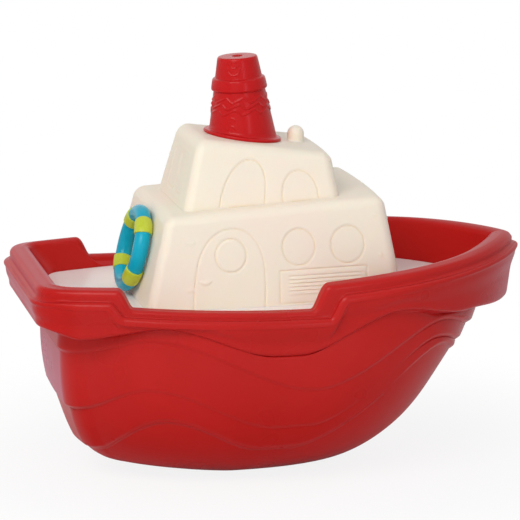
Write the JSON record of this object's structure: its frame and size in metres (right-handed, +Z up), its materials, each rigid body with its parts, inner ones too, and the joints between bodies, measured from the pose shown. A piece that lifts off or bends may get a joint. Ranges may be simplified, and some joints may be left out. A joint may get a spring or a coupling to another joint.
{
  "type": "toy boat",
  "caption": "Bath toy boat with a moulded wave-stepped hull, a two-tier lift-off cabin, a pull-off funnel and a life ring hung on the stern wall.",
  "frame": {"origin": "middle of the bounding box's footprint, on the plane that the flat bottom rests on", "axes": "+X towards the bow, +Y to port, +Z up"},
  "size_m": [0.327, 0.205, 0.2634],
  "materials": {
    "hull_red": "semi-gloss moulded vinyl",
    "funnel_red": "semi-gloss moulded vinyl",
    "cabin_cream": "satin moulded vinyl",
    "ring_blue": "gloss paint",
    "band_lime": "gloss paint",
    "seal_rubber": "matt",
    "screw_steel": "zinc plated",
    "ballast_steel": "mill finish",
    "cover_plastic": "matt"
  },
  "bodies": {
    "hull": {"hull_shell": "hull_red", "hull_liner": "hull_red", "deck_seal": "seal_rubber", "deck": "cabin_cream", "deck_screws": "screw_steel", "keel_ballast": "ballast_steel", "ballast_cover": "cover_plastic", "cover_screws": "screw_steel"},
    "deckhouse": {"deckhouse": "cabin_cream", "ring_peg": "cabin_cream"},
    "wheelhouse": {"wheelhouse": "cabin_cream", "roof_lamp": "cabin_cream"},
    "funnel": {"funnel": "funnel_red"},
    "life_ring": {"life_ring": "ring_blue", "ring_band_1": "band_lime", "ring_band_2": "band_lime", "ring_band_3": "band_lime", "ring_band_4": "band_lime"}
  },
  "joints": [
    {"name": "deckhouse_lift", "type": "slide", "parent": "hull", "child": "deckhouse", "axis": [0, 0, 1], "range_m": [0, 0.06]},
    {"name": "wheelhouse_lift", "type": "slide", "parent": "deckhouse", "child": "wheelhouse", "axis": [0, 0, 1], "range_m": [0, 0.05]},
    {"name": "funnel_lift", "type": "slide", "parent": "wheelhouse", "child": "funnel", "axis": [-0.0593, 0, 0.9982], "range_m": [0, 0.05]},
    {"name": "ring_pull", "type": "slide", "parent": "deckhouse", "child": "life_ring", "axis": [-0.9681, 0, 0.2504], "range_m": [0, 0.025]}
  ]
}
